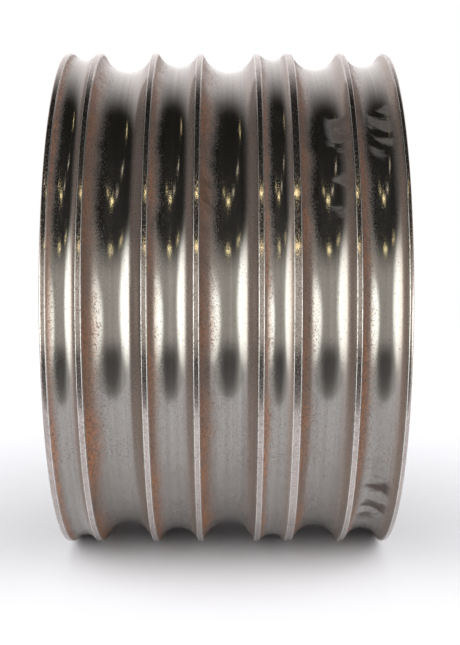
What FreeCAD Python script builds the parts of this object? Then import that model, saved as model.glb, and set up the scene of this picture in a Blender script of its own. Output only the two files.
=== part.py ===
"""Wide steel guide pulley: seven round-bottomed grooves, turning on two ball bearings round a hollow axle.

The pulley's axis is Y, +Z is up, and the origin is the centre of the pulley. Lengths are in millimetres.
The grooved rim, two ribbed web discs and a hub tube are welded into one drum. The hub tube holds two deep
groove ball bearings, whose inner rings are clamped on a hollow axle sleeve by a spacer and two lock nuts.
Bolted covers with lip seals close the bearings. The machine's fixed shaft goes through the axle sleeve, and
the drum turns. The "right" end is +Y. Each end is drawn once, for the right, and turned half round Z to make
the left.
"""

import FreeCAD
import Part

import math
import os

# Grooves: (opening width at the outer diameter, depth below it), and their order from left to right
SMALL = (15.5, 3.9)
MEDIUM = (24.0, 7.9)
WIDE = (28.1, 9.6)
LARGE = (30.7, 11.2)
GROOVES = [SMALL, LARGE, MEDIUM, LARGE, SMALL, WIDE, MEDIUM]
# Flat lands, from the left end to the right end: one more than the grooves
LANDS = [3.1, 2.8, 2.8, 2.8, 2.8, 3.9, 2.7, 2.3]

# Rim
OUTER_R = 150.0
RIM_BORE_R = 128.0
RIM_HALF = (sum(LANDS) + sum(width for width, _ in GROOVES)) / 2
LAND_CORNER_R = 0.5
END_CORNER_R = 1.2
BORE_CHAMFER = 1.5

# Bearings, deep groove ball, 45 x 100 x 25
BEARING_BORE_R = 22.5
BEARING_OUTER_R = 50.0
BEARING_WIDTH = 25.0
BALL_R = 8.73
BALL_PITCH_R = 36.25
BALLS = 8
RACE_R = 1.04 * BALL_R
RACE_CLEARANCE = 0.03
INNER_SHOULDER_R = 31.0
OUTER_SHOULDER_R = 41.6
RING_CHAMFER = 1.0
CAGE_INNER_R = 33.6
CAGE_OUTER_R = 38.9
CAGE_HALF = 10.5
POCKET_CLEARANCE = 0.2
CAGE_RIVET_R = 1.1
CAGE_RIVET_HEAD_R = 1.9
CAGE_RIVET_HEAD_HEIGHT = 0.8

# Hub tube and the bearings' places in it
HUB_R = 65.0
HUB_HALF = 77.0
HUB_WAIST_R = 45.0
HUB_CHAMFER = 1.5
BEARING_FACE = 68.0
BEARING_INBOARD = BEARING_FACE - BEARING_WIDTH
BEARING_MIDDLE = BEARING_FACE - BEARING_WIDTH / 2

# Web discs and ribs
WEB_FACE = 61.0
WEB_THICKNESS = 10.0
WEB_HOLES = 6
WEB_HOLE_R = 14.0
WEB_HOLE_PITCH_R = 96.5
RIB_THICKNESS = 8.0
RIB_TOP_AT_HUB = 75.0
RIB_TOP_AT_RIM = 85.0
RIB_SNIPE = 8.0
RIB_TRIM = 5.0
RING_WELD_LEG = 6.0
RING_WELD_CROWN = 0.08
RIB_WELD_LEG = 4.0
RIB_WELD_START_R = 74.5
RIB_WELD_END_R = 118.5

# Axle sleeve, spacer and lock nuts
SLEEVE_BORE_R = 15.0
SLEEVE_HALF = 98.0
SLEEVE_THREAD_END = 80.0
SLEEVE_END_R = 20.0
SLEEVE_CHAMFER = 1.0
SPACER_R = 28.0
TAB_WASHER_THICKNESS = 1.25
TAB_WASHER_R = 28.0
TAB_ROOT_R = 25.5
TAB_TIP_R = 34.0
TAB_WIDTH = 6.0
TABS = 13
TAB_KEY_WIDTH = 6.6
TAB_SLOT_WIDTH = 7.0
TAB_SLOT_DEPTH = 2.5
LOCK_NUT_R = 32.5
LOCK_NUT_WIDTH = 10.0
LOCK_NUT_CHAMFER = 2.0
LOCK_NUT_BACK_CHAMFER = 1.0
LOCK_NUT_SLOT_WIDTH = 6.0
LOCK_NUT_SLOT_DEPTH = 2.5
LOCK_NUT_SLOTS = 4

# Bearing covers, gaskets and lip seals
GASKET_THICKNESS = 0.5
COVER_FACE = HUB_HALF + GASKET_THICKNESS
COVER_FLANGE_THICKNESS = 9.0
COVER_BOSS_R = 35.0
COVER_BOSS_HEIGHT = 3.0
COVER_SPIGOT_BORE_R = 42.5
COVER_SPIGOT_LIP = 3.0
NUT_ROOM_R = 36.0
NUT_ROOM_END = 80.5
SEAL_SHOULDER_R = 25.5
SEAL_R = 29.0
SEAL_WIDTH = 7.0
SEAL_CORNER = 0.6
SEAL_WALL = 3.0
SEAL_WEB = 2.6
SEAL_LIP_R = SLEEVE_END_R + 0.06
GARTER_DEPTH = 4.4
GARTER_RING_R = 23.9
GARTER_WIRE_R = 0.7
COVER_CHAMFER = 1.5

# Cover bolts, M6 x 20 hexagon head, with spring washers
BOLTS = 6
BOLT_PITCH_R = 57.5
BOLT_R = 3.0
BOLT_LENGTH = 20.0
BOLT_HEAD_FLATS = 10.0
BOLT_HEAD_HEIGHT = 4.0
HEX_CHAMFER_ANGLE = 30.0
HEX_CHAMFER_SHARE = 0.7
BOLT_HOLE_R = 3.3
TAPPED_DEPTH = 15.0
WASHER_R = 5.9
WASHER_BORE_R = 3.1
WASHER_THICKNESS = 1.6
WASHER_SPLIT = 1.2

# Grease nipple, M6 straight
NIPPLE_THREAD_R = 3.0
NIPPLE_THREAD_LENGTH = 5.0
NIPPLE_FLATS = 7.0
NIPPLE_HEX_HEIGHT = 2.5
NIPPLE_COLLAR_HEIGHT = 1.0
NIPPLE_NECK_R = 1.9
NIPPLE_NECK_START = 2.4
NIPPLE_NECK_END = 3.1
NIPPLE_HEAD_R = 3.25
NIPPLE_HEAD_START = 4.1
NIPPLE_HEAD_END = 4.9
NIPPLE_TIP_R = 1.2
NIPPLE_HEIGHT = 6.5
NIPPLE_PITCH_R = 40.0
GREASE_HOLE_R = 1.5

COVER_OUTER_FACE = COVER_FACE + COVER_FLANGE_THICKNESS
COVER_BOSS_FACE = COVER_OUTER_FACE + COVER_BOSS_HEIGHT
# Tools that cut through a surface stand out of it by this much
OVERCUT = 1.0

AXIS = FreeCAD.Vector(0, 1, 0)
ORIGIN = FreeCAD.Vector(0, 0, 0)


def point(radius, y):
    """A point of a turned profile, in the plane that holds the axis and +X."""
    return FreeCAD.Vector(radius, y, 0)


def turned(edges):
    """The solid that a closed profile of edges sweeps round the axis."""
    return Part.Face(Part.Wire(edges)).revolve(ORIGIN, AXIS, 360)


def turned_corners(corners):
    """The turned solid whose profile has straight sides between (radius, y) corners."""
    points = [point(radius, y) for radius, y in corners]
    return turned([Part.LineSegment(a, b).toShape() for a, b in zip(points, points[1:] + points[:1])])


def ring(inner_r, outer_r, start, end):
    """A plain ring about the axis, from y = start to y = end."""
    outside = Part.makeCylinder(outer_r, end - start, FreeCAD.Vector(0, start, 0), AXIS)
    inside = Part.makeCylinder(inner_r, end - start, FreeCAD.Vector(0, start, 0), AXIS)
    return outside.cut(inside)


def rod(radius, start, end, pitch_r=0.0):
    """A cylinder along Y, from y = start to y = end, standing off the axis by pitch_r along +X."""
    return Part.makeCylinder(radius, end - start, FreeCAD.Vector(pitch_r, start, 0), AXIS)


def hexagon(flats, start, end, pitch_r):
    """A hexagonal bar along Y with its corners turned down at the outer end, as on a bolt's head."""
    corner_r = flats / math.sqrt(3)
    corners = [
        FreeCAD.Vector(pitch_r + corner_r * math.cos(math.radians(60 * i)), start,
                       corner_r * math.sin(math.radians(60 * i)))
        for i in range(7)
    ]
    bar = Part.Face(Part.makePolygon(corners)).extrude(FreeCAD.Vector(0, end - start, 0))
    top_r = corner_r - (corner_r - flats / 2) * HEX_CHAMFER_SHARE
    foot_r = top_r + (end - start) / math.tan(math.radians(HEX_CHAMFER_ANGLE))
    cap = Part.makeCone(foot_r, top_r, end - start, FreeCAD.Vector(pitch_r, start, 0), AXIS)
    return bar.common(cap)


def turn(shape, degrees):
    """A copy of a shape, turned about the pulley's axis."""
    copy = shape.copy()
    copy.rotate(ORIGIN, AXIS, degrees)
    return copy


def around(shape, count, first=0.0):
    """Copies of a shape, evenly spaced about the axis."""
    return [turn(shape, first + 360 * i / count) for i in range(count)]


def cut_all(shape, tools):
    for tool in tools:
        shape = shape.cut(tool)
    return shape


def to_left(shape):
    """The same piece at the left end: turned half round Z."""
    copy = shape.copy()
    copy.rotate(ORIGIN, FreeCAD.Vector(0, 0, 1), 180)
    return copy


def line(a, b):
    return Part.LineSegment(a, b).toShape()


def arc(a, middle, b):
    return Part.Arc(a, middle, b).toShape()


def arc_about(centre, radius, towards):
    """The point of a circle about centre that lies in the direction of another point."""
    return centre + (towards - centre).normalize() * radius


def groove_edges(middle_y, width, depth):
    """A groove's profile from land to land: a rounded corner, the round groove, and a rounded corner.

    Returns its edges, and the y of its first and last points, which lie on the outer diameter.
    """
    groove_r = (width ** 2 / 4 + depth ** 2) / (2 * depth)
    centre = point(OUTER_R - depth + groove_r, middle_y)
    reach = math.sqrt((groove_r + LAND_CORNER_R) ** 2 - (groove_r - depth + LAND_CORNER_R) ** 2)
    edges = []
    bottom = point(OUTER_R - depth, middle_y)
    corners = [point(OUTER_R - LAND_CORNER_R, middle_y + side * reach) for side in (-1, 1)]
    on_land = [point(OUTER_R, corner.y) for corner in corners]
    on_groove = [arc_about(centre, groove_r, corner) for corner in corners]
    halfway = [arc_about(corner, LAND_CORNER_R, (land + groove) * 0.5)
               for corner, land, groove in zip(corners, on_land, on_groove)]
    edges.append(arc(on_land[0], halfway[0], on_groove[0]))
    edges.append(arc(on_groove[0], bottom, on_groove[1]))
    edges.append(arc(on_groove[1], halfway[1], on_land[1]))
    return edges, on_land[0].y, on_land[1].y


def grooved_rim():
    """The turned rim: seven grooves outside, and a plain bore with chamfered ends."""
    end_corner = END_CORNER_R * (1 - math.sqrt(0.5))
    edges = [
        line(point(RIM_BORE_R + BORE_CHAMFER, -RIM_HALF), point(OUTER_R - END_CORNER_R, -RIM_HALF)),
        arc(point(OUTER_R - END_CORNER_R, -RIM_HALF), point(OUTER_R - end_corner, -RIM_HALF + end_corner),
            point(OUTER_R, -RIM_HALF + END_CORNER_R)),
    ]
    reached = -RIM_HALF + END_CORNER_R
    land_end = -RIM_HALF
    for land, (width, depth) in zip(LANDS, GROOVES):
        land_end += land
        groove, start, end = groove_edges(land_end + width / 2, width, depth)
        edges.append(line(point(OUTER_R, reached), point(OUTER_R, start)))
        edges += groove
        reached = end
        land_end += width
    edges += [
        line(point(OUTER_R, reached), point(OUTER_R, RIM_HALF - END_CORNER_R)),
        arc(point(OUTER_R, RIM_HALF - END_CORNER_R), point(OUTER_R - end_corner, RIM_HALF - end_corner),
            point(OUTER_R - END_CORNER_R, RIM_HALF)),
        line(point(OUTER_R - END_CORNER_R, RIM_HALF), point(RIM_BORE_R + BORE_CHAMFER, RIM_HALF)),
        line(point(RIM_BORE_R + BORE_CHAMFER, RIM_HALF), point(RIM_BORE_R, RIM_HALF - BORE_CHAMFER)),
        line(point(RIM_BORE_R, RIM_HALF - BORE_CHAMFER), point(RIM_BORE_R, -RIM_HALF + BORE_CHAMFER)),
        line(point(RIM_BORE_R, -RIM_HALF + BORE_CHAMFER), point(RIM_BORE_R + BORE_CHAMFER, -RIM_HALF)),
    ]
    return turned(edges)


def hub_tube():
    """The bearing housing: a tube with a bearing seat, a shoulder and six tapped holes at each end."""
    tube = turned_corners([
        (HUB_WAIST_R, -BEARING_INBOARD), (BEARING_OUTER_R, -BEARING_INBOARD),
        (BEARING_OUTER_R, -HUB_HALF), (HUB_R - HUB_CHAMFER, -HUB_HALF), (HUB_R, -HUB_HALF + HUB_CHAMFER),
        (HUB_R, HUB_HALF - HUB_CHAMFER), (HUB_R - HUB_CHAMFER, HUB_HALF), (BEARING_OUTER_R, HUB_HALF),
        (BEARING_OUTER_R, BEARING_INBOARD), (HUB_WAIST_R, BEARING_INBOARD),
    ])
    hole = rod(BOLT_R, HUB_HALF - TAPPED_DEPTH, HUB_HALF, BOLT_PITCH_R)
    holes = around(hole, BOLTS, 180 / BOLTS)
    return cut_all(tube, holes + [to_left(hole) for hole in holes])


def web():
    """A web disc, flame cut from plate, with round holes between the ribs."""
    disc = ring(HUB_R, RIM_BORE_R, WEB_FACE - WEB_THICKNESS, WEB_FACE)
    hole = rod(WEB_HOLE_R, WEB_FACE - WEB_THICKNESS, WEB_FACE, WEB_HOLE_PITCH_R)
    return cut_all(disc, around(hole, WEB_HOLES, 180 / WEB_HOLES))


def web_ribs():
    """Six radial ribs on the web's outer face, sniped at the corners to clear the ring welds.

    A rib's plate is drawn past the hub and the rim, and then trimmed to their round walls.
    """
    corners = [
        (HUB_R + RIB_SNIPE, WEB_FACE), (RIM_BORE_R - RIB_SNIPE, WEB_FACE),
        (RIM_BORE_R, WEB_FACE + RIB_SNIPE), (RIM_BORE_R + RIB_TRIM, WEB_FACE + RIB_SNIPE),
        (RIM_BORE_R + RIB_TRIM, RIB_TOP_AT_RIM), (RIM_BORE_R, RIB_TOP_AT_RIM),
        (HUB_R, RIB_TOP_AT_HUB), (HUB_R - RIB_TRIM, RIB_TOP_AT_HUB),
        (HUB_R - RIB_TRIM, WEB_FACE + RIB_SNIPE), (HUB_R, WEB_FACE + RIB_SNIPE),
    ]
    outline = [FreeCAD.Vector(r, y, -RIB_THICKNESS / 2) for r, y in corners]
    plate = Part.Face(Part.makePolygon(outline + outline[:1])).extrude(FreeCAD.Vector(0, 0, RIB_THICKNESS))
    rib = plate.common(ring(HUB_R, RIM_BORE_R, WEB_FACE, RIM_HALF))
    return Part.makeCompound(around(rib, WEB_HOLES))


def ring_weld(wall_r, side):
    """A fillet weld round the corner between the web and a wall.

    side is 1 outside the hub, and -1 inside the rim.
    """
    foot = point(wall_r + side * RING_WELD_LEG, WEB_FACE)
    corner = point(wall_r, WEB_FACE)
    top = point(wall_r, WEB_FACE + RING_WELD_LEG)
    crown = (foot + top) * 0.5 + FreeCAD.Vector(side, 1, 0) * (RING_WELD_LEG * RING_WELD_CROWN)
    return turned([line(corner, foot), arc(foot, crown, top), line(top, corner)])


def rib_welds():
    """Straight fillet welds along both feet of every rib."""
    welds = []
    for side in (-1, 1):
        wall = side * RIB_THICKNESS / 2
        corners = [
            FreeCAD.Vector(RIB_WELD_START_R, WEB_FACE, wall),
            FreeCAD.Vector(RIB_WELD_START_R, WEB_FACE, wall + side * RIB_WELD_LEG),
            FreeCAD.Vector(RIB_WELD_START_R, WEB_FACE + RIB_WELD_LEG, wall),
        ]
        triangle = Part.Face(Part.makePolygon(corners + corners[:1]))
        bead = triangle.extrude(FreeCAD.Vector(RIB_WELD_END_R - RIB_WELD_START_R, 0, 0))
        welds += around(bead, WEB_HOLES)
    return Part.makeCompound(welds)


def bearing_ring(bore_r, rim_r, race_bottom, race_side):
    """A bearing ring with a round race.

    race_side is 1 for a race outside the inner ring, and -1 for one inside the outer ring.
    """
    low, high = sorted((bore_r, rim_r))
    body = turned_corners([
        (low, BEARING_INBOARD + RING_CHAMFER), (low + RING_CHAMFER, BEARING_INBOARD),
        (high - RING_CHAMFER, BEARING_INBOARD), (high, BEARING_INBOARD + RING_CHAMFER),
        (high, BEARING_FACE - RING_CHAMFER), (high - RING_CHAMFER, BEARING_FACE),
        (low + RING_CHAMFER, BEARING_FACE), (low, BEARING_FACE - RING_CHAMFER),
    ])
    race_centre = race_bottom + race_side * RACE_R
    race = Part.makeTorus(race_centre, RACE_R, FreeCAD.Vector(0, BEARING_MIDDLE, 0), AXIS)
    return body.cut(race)


def inner_ring():
    return bearing_ring(BEARING_BORE_R, INNER_SHOULDER_R, BALL_PITCH_R - BALL_R - RACE_CLEARANCE, 1)


def outer_ring():
    return bearing_ring(BEARING_OUTER_R, OUTER_SHOULDER_R, BALL_PITCH_R + BALL_R + RACE_CLEARANCE, -1)


def balls():
    ball = Part.makeSphere(BALL_R, FreeCAD.Vector(BALL_PITCH_R, BEARING_MIDDLE, 0))
    return Part.makeCompound(around(ball, BALLS))


def cage_halves():
    """A machined brass cage: two halves that meet at the balls' middle, with a pocket for every ball."""
    pocket = Part.makeCylinder(BALL_R + POCKET_CLEARANCE, CAGE_OUTER_R,
                               FreeCAD.Vector(0, BEARING_MIDDLE, 0), FreeCAD.Vector(1, 0, 0))
    rivet_hole = rod(CAGE_RIVET_R, BEARING_MIDDLE - CAGE_HALF, BEARING_MIDDLE + CAGE_HALF, BALL_PITCH_R)
    holes = around(pocket, BALLS) + around(rivet_hole, BALLS, 180 / BALLS)
    halves = [
        cut_all(ring(CAGE_INNER_R, CAGE_OUTER_R, BEARING_MIDDLE - CAGE_HALF, BEARING_MIDDLE), holes),
        cut_all(ring(CAGE_INNER_R, CAGE_OUTER_R, BEARING_MIDDLE, BEARING_MIDDLE + CAGE_HALF), holes),
    ]
    return Part.makeCompound(halves)


def cage_rivets():
    """The rivets that hold the cage's halves together, one between each pair of balls."""
    faces = (BEARING_MIDDLE - CAGE_HALF, BEARING_MIDDLE + CAGE_HALF)
    shank = rod(CAGE_RIVET_R, faces[0], faces[1], BALL_PITCH_R)
    heads = [
        rod(CAGE_RIVET_HEAD_R, faces[0] - CAGE_RIVET_HEAD_HEIGHT, faces[0], BALL_PITCH_R),
        rod(CAGE_RIVET_HEAD_R, faces[1], faces[1] + CAGE_RIVET_HEAD_HEIGHT, BALL_PITCH_R),
    ]
    rivet = shank.fuse(heads).removeSplitter()
    return Part.makeCompound(around(rivet, BALLS, 180 / BALLS))


def axle_sleeve():
    """The hollow axle: bearing seats and lock nut threads outside, and a through bore for the fixed shaft."""
    end = SLEEVE_HALF
    right = [
        (SLEEVE_BORE_R + SLEEVE_CHAMFER, end), (SLEEVE_END_R - SLEEVE_CHAMFER, end),
        (SLEEVE_END_R, end - SLEEVE_CHAMFER), (SLEEVE_END_R, SLEEVE_THREAD_END),
        (BEARING_BORE_R - SLEEVE_CHAMFER, SLEEVE_THREAD_END),
        (BEARING_BORE_R, SLEEVE_THREAD_END - SLEEVE_CHAMFER),
    ]
    left = [(radius, -y) for radius, y in reversed(right)]
    corners = [(SLEEVE_BORE_R, end - SLEEVE_CHAMFER)] + right + left + [(SLEEVE_BORE_R, SLEEVE_CHAMFER - end)]
    sleeve = turned_corners(corners)
    slot = Part.makeBox(TAB_SLOT_WIDTH, SLEEVE_THREAD_END - BEARING_FACE, TAB_SLOT_DEPTH + OVERCUT,
                        FreeCAD.Vector(-TAB_SLOT_WIDTH / 2, BEARING_FACE, BEARING_BORE_R - TAB_SLOT_DEPTH))
    return cut_all(sleeve, [slot, to_left(slot)])


def bearing_spacer():
    return ring(BEARING_BORE_R, SPACER_R, -BEARING_INBOARD, BEARING_INBOARD)


def tab_washer():
    """The lock washer: tabs all round its rim, and one inside that sits in the sleeve's slot."""
    end = BEARING_FACE + TAB_WASHER_THICKNESS
    body = ring(BEARING_BORE_R, TAB_WASHER_R, BEARING_FACE, end)
    tab = Part.makeBox(TAB_TIP_R - TAB_ROOT_R, TAB_WASHER_THICKNESS, TAB_WIDTH,
                       FreeCAD.Vector(TAB_ROOT_R, BEARING_FACE, -TAB_WIDTH / 2))
    for piece in around(tab, TABS):
        body = body.fuse(piece)
    key = Part.makeBox(TAB_KEY_WIDTH, TAB_WASHER_THICKNESS, TAB_SLOT_DEPTH + OVERCUT,
                       FreeCAD.Vector(-TAB_KEY_WIDTH / 2, BEARING_FACE, BEARING_BORE_R - TAB_SLOT_DEPTH))
    return body.fuse(key).removeSplitter()


def lock_nut():
    """The round lock nut, with four slots for a hook spanner."""
    start = BEARING_FACE + TAB_WASHER_THICKNESS
    end = start + LOCK_NUT_WIDTH
    body = turned_corners([
        (BEARING_BORE_R, start), (LOCK_NUT_R - LOCK_NUT_CHAMFER, start),
        (LOCK_NUT_R, start + LOCK_NUT_BACK_CHAMFER), (LOCK_NUT_R, end - LOCK_NUT_CHAMFER),
        (LOCK_NUT_R - LOCK_NUT_CHAMFER, end), (BEARING_BORE_R, end),
    ])
    slot = Part.makeBox(LOCK_NUT_SLOT_DEPTH + OVERCUT, LOCK_NUT_WIDTH, LOCK_NUT_SLOT_WIDTH,
                        FreeCAD.Vector(LOCK_NUT_R - LOCK_NUT_SLOT_DEPTH, start, -LOCK_NUT_SLOT_WIDTH / 2))
    return cut_all(body, around(slot, LOCK_NUT_SLOTS, 45))


def cover_gasket():
    gasket = ring(BEARING_OUTER_R, HUB_R - HUB_CHAMFER, HUB_HALF, COVER_FACE)
    hole = rod(BOLT_HOLE_R, HUB_HALF, COVER_FACE, BOLT_PITCH_R)
    return cut_all(gasket, around(hole, BOLTS, 180 / BOLTS))


def bearing_cover():
    """The turned cover: a spigot that holds the bearing, room for the lock nut, and a seat for the seal."""
    seal_seat = COVER_BOSS_FACE - SEAL_WIDTH
    body = turned_corners([
        (COVER_SPIGOT_BORE_R, BEARING_FACE), (BEARING_OUTER_R, BEARING_FACE), (BEARING_OUTER_R, COVER_FACE),
        (HUB_R, COVER_FACE), (HUB_R, COVER_OUTER_FACE - COVER_CHAMFER),
        (HUB_R - COVER_CHAMFER, COVER_OUTER_FACE), (COVER_BOSS_R, COVER_OUTER_FACE),
        (COVER_BOSS_R - COVER_CHAMFER, COVER_BOSS_FACE), (SEAL_R, COVER_BOSS_FACE), (SEAL_R, seal_seat),
        (SEAL_SHOULDER_R, seal_seat), (SEAL_SHOULDER_R, NUT_ROOM_END), (NUT_ROOM_R, NUT_ROOM_END),
        (NUT_ROOM_R, BEARING_FACE + COVER_SPIGOT_LIP), (COVER_SPIGOT_BORE_R, BEARING_FACE + COVER_SPIGOT_LIP),
    ])
    hole = rod(BOLT_HOLE_R, COVER_FACE, COVER_OUTER_FACE, BOLT_PITCH_R)
    nipple_start = COVER_OUTER_FACE - NIPPLE_THREAD_LENGTH
    nipple_hole = rod(NIPPLE_THREAD_R, nipple_start, COVER_OUTER_FACE, NIPPLE_PITCH_R)
    grease_hole = rod(GREASE_HOLE_R, BEARING_FACE, COVER_OUTER_FACE, NIPPLE_PITCH_R)
    return cut_all(body, around(hole, BOLTS, 180 / BOLTS) + [nipple_hole, grease_hole])


def garter_spring():
    """The spring ring behind the seal's lip."""
    centre = FreeCAD.Vector(0, COVER_BOSS_FACE - GARTER_DEPTH, 0)
    return Part.makeTorus(GARTER_RING_R, GARTER_WIRE_R, centre, AXIS)


def lip_seal():
    """The rubber shaft seal: a ring pressed into the cover, and a thin web to a lip that rubs on the sleeve.

    The profile goes round the outer ring, in along the outer face, down the dust lip and the sealing lip,
    and back under the web.
    """
    face = COVER_BOSS_FACE
    back = face - SEAL_WIDTH
    outer_ring = [(SEAL_R, back), (SEAL_R, face - SEAL_CORNER), (SEAL_R - SEAL_CORNER, face)]
    lip = SEAL_LIP_R
    dust_lip = [(lip + 2.2, face), (lip + 0.4, face - 1.0), (lip + 1.2, face - 2.4)]
    sealing_lip = [(lip, face - 4.6), (lip + 1.4, face - 6.4), (lip + 3.3, face - 6.0)]
    inside_r = SEAL_R - SEAL_WALL
    web_back = [(lip + 3.7, face - SEAL_WEB), (inside_r, face - SEAL_WEB), (inside_r, back)]
    return turned_corners(outer_ring + dust_lip + sealing_lip + web_back).cut(garter_spring())


def cover_bolts():
    """Hexagon head bolts, each with its shank in the cover's hole and the hub's tapped hole."""
    under_head = COVER_OUTER_FACE + WASHER_THICKNESS
    head = hexagon(BOLT_HEAD_FLATS, under_head, under_head + BOLT_HEAD_HEIGHT, BOLT_PITCH_R)
    bolt = head.fuse(rod(BOLT_R, under_head - BOLT_LENGTH, under_head, BOLT_PITCH_R)).removeSplitter()
    return Part.makeCompound(around(bolt, BOLTS, 180 / BOLTS))


def spring_washers():
    """Split spring washers under the bolt heads."""
    end = COVER_OUTER_FACE + WASHER_THICKNESS
    body = rod(WASHER_R, COVER_OUTER_FACE, end, BOLT_PITCH_R).cut(
        rod(WASHER_BORE_R, COVER_OUTER_FACE, end, BOLT_PITCH_R))
    split = Part.makeBox(WASHER_R + OVERCUT, WASHER_THICKNESS, WASHER_SPLIT,
                         FreeCAD.Vector(BOLT_PITCH_R, COVER_OUTER_FACE, -WASHER_SPLIT / 2))
    return Part.makeCompound(around(body.cut(split), BOLTS, 180 / BOLTS))


def grease_nipple():
    """A straight grease nipple: a threaded end, a hexagon, and a turned collar, neck and ball head."""
    hex_top = COVER_OUTER_FACE + NIPPLE_HEX_HEIGHT
    head = turned_corners([
        (0, hex_top), (NIPPLE_HEAD_R, hex_top), (NIPPLE_HEAD_R, hex_top + NIPPLE_COLLAR_HEIGHT),
        (NIPPLE_NECK_R, hex_top + NIPPLE_NECK_START), (NIPPLE_NECK_R, hex_top + NIPPLE_NECK_END),
        (NIPPLE_HEAD_R, hex_top + NIPPLE_HEAD_START), (NIPPLE_HEAD_R, hex_top + NIPPLE_HEAD_END),
        (NIPPLE_TIP_R, hex_top + NIPPLE_HEIGHT), (0, hex_top + NIPPLE_HEIGHT),
    ])
    head.translate(FreeCAD.Vector(NIPPLE_PITCH_R, 0, 0))
    body = hexagon(NIPPLE_FLATS, COVER_OUTER_FACE, hex_top, NIPPLE_PITCH_R)
    thread = rod(NIPPLE_THREAD_R, COVER_OUTER_FACE - NIPPLE_THREAD_LENGTH, COVER_OUTER_FACE, NIPPLE_PITCH_R)
    return head.fuse(body).fuse(thread).removeSplitter()


END_PIECES = {
    "web": web,
    "web_ribs": web_ribs,
    "rim_weld": lambda: ring_weld(RIM_BORE_R, -1),
    "hub_weld": lambda: ring_weld(HUB_R, 1),
    "rib_welds": rib_welds,
    "inner_ring": inner_ring,
    "outer_ring": outer_ring,
    "bearing_balls": balls,
    "cage_halves": cage_halves,
    "cage_rivets": cage_rivets,
    "tab_washer": tab_washer,
    "lock_nut": lock_nut,
    "cover_gasket": cover_gasket,
    "bearing_cover": bearing_cover,
    "lip_seal": lip_seal,
    "garter_spring": garter_spring,
    "cover_bolts": cover_bolts,
    "spring_washers": spring_washers,
    "grease_nipple": grease_nipple,
}
MIDDLE_PIECES = {
    "grooved_rim": grooved_rim,
    "hub_tube": hub_tube,
    "axle_sleeve": axle_sleeve,
    "bearing_spacer": bearing_spacer,
}


def write(name, shape):
    if not shape.isValid():
        raise ValueError(f"{name} is not a valid shape")
    shape.exportStep(f"parts/{name}.step")


os.makedirs("parts", exist_ok=True)
for name, make in MIDDLE_PIECES.items():
    write(name, make())
for name, make in END_PIECES.items():
    right = make()
    write(f"right_{name}", right)
    write(f"left_{name}", to_left(right))
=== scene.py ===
import math

import bmesh
import bpy
from mathutils import Matrix, Vector
from mathutils.noise import noise as noise_value


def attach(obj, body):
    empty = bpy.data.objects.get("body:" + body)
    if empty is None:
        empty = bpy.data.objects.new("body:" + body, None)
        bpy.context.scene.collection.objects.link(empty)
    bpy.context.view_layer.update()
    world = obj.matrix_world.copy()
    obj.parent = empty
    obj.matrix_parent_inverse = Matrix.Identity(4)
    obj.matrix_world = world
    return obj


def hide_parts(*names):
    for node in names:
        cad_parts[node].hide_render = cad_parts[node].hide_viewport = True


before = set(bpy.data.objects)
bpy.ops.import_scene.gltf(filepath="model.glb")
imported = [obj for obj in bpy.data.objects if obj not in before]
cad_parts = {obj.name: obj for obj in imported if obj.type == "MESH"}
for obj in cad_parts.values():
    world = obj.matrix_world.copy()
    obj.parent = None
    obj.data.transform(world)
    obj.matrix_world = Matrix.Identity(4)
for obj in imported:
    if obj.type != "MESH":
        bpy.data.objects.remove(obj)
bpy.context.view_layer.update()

# ---------------------------------------------------------------------------------------------
# Axle sleeve: the hollow axle that stands still while the drum turns. Turned from bar, with
# ground bearing seats; only its two ends show. The machine's fixed shaft goes through its bore.

MM = 0.001


def node_group(name, inputs, outputs):
    """An empty shader node group with named sockets; returns its tree, its input and its output node."""
    group = bpy.data.node_groups.new(name, "ShaderNodeTree")
    for socket, kind, value in inputs:
        made = group.interface.new_socket(name=socket, in_out="INPUT", socket_type=kind)
        if value is not None:
            made.default_value = value
    for socket, kind in outputs:
        group.interface.new_socket(name=socket, in_out="OUTPUT", socket_type=kind)
    return group, group.nodes.new("NodeGroupInput"), group.nodes.new("NodeGroupOutput")


def maths(tree, operation, first, second=None, third=None, clamp=False):
    """A Math node; each operand is a number or an output socket. Returns its output socket."""
    node = tree.nodes.new("ShaderNodeMath")
    node.operation = operation
    node.use_clamp = clamp
    for socket, operand in zip(node.inputs, (first, second, third)):
        if isinstance(operand, (int, float)):
            socket.default_value = operand
        elif operand is not None:
            tree.links.new(operand, socket)
    return node.outputs[0]


def ramp(tree, value, low, high, out_low=0.0, out_high=1.0):
    """Maps value smoothly from low..high to out_low..out_high."""
    node = tree.nodes.new("ShaderNodeMapRange")
    node.interpolation_type = "SMOOTHSTEP"
    for name, number in (("From Min", low), ("From Max", high), ("To Min", out_low), ("To Max", out_high)):
        node.inputs[name].default_value = number
    tree.links.new(value, node.inputs["Value"])
    return node.outputs["Result"]


def noise(tree, vector, scale, detail=4.0, roughness=0.55):
    node = tree.nodes.new("ShaderNodeTexNoise")
    node.inputs["Scale"].default_value = scale
    node.inputs["Detail"].default_value = detail
    node.inputs["Roughness"].default_value = roughness
    tree.links.new(vector, node.inputs["Vector"])
    return node.outputs["Fac"]


def blend(tree, factor, first, second):
    """Mixes two colours; each is a socket or an (r, g, b) tuple."""
    node = tree.nodes.new("ShaderNodeMix")
    node.data_type = "RGBA"
    for socket, colour in ((node.inputs[6], first), (node.inputs[7], second)):
        if isinstance(colour, tuple):
            socket.default_value = (*colour, 1.0)
        else:
            tree.links.new(colour, socket)
    if isinstance(factor, (int, float)):
        node.inputs[0].default_value = factor
    else:
        tree.links.new(factor, node.inputs[0])
    return node.outputs[2]


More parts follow.
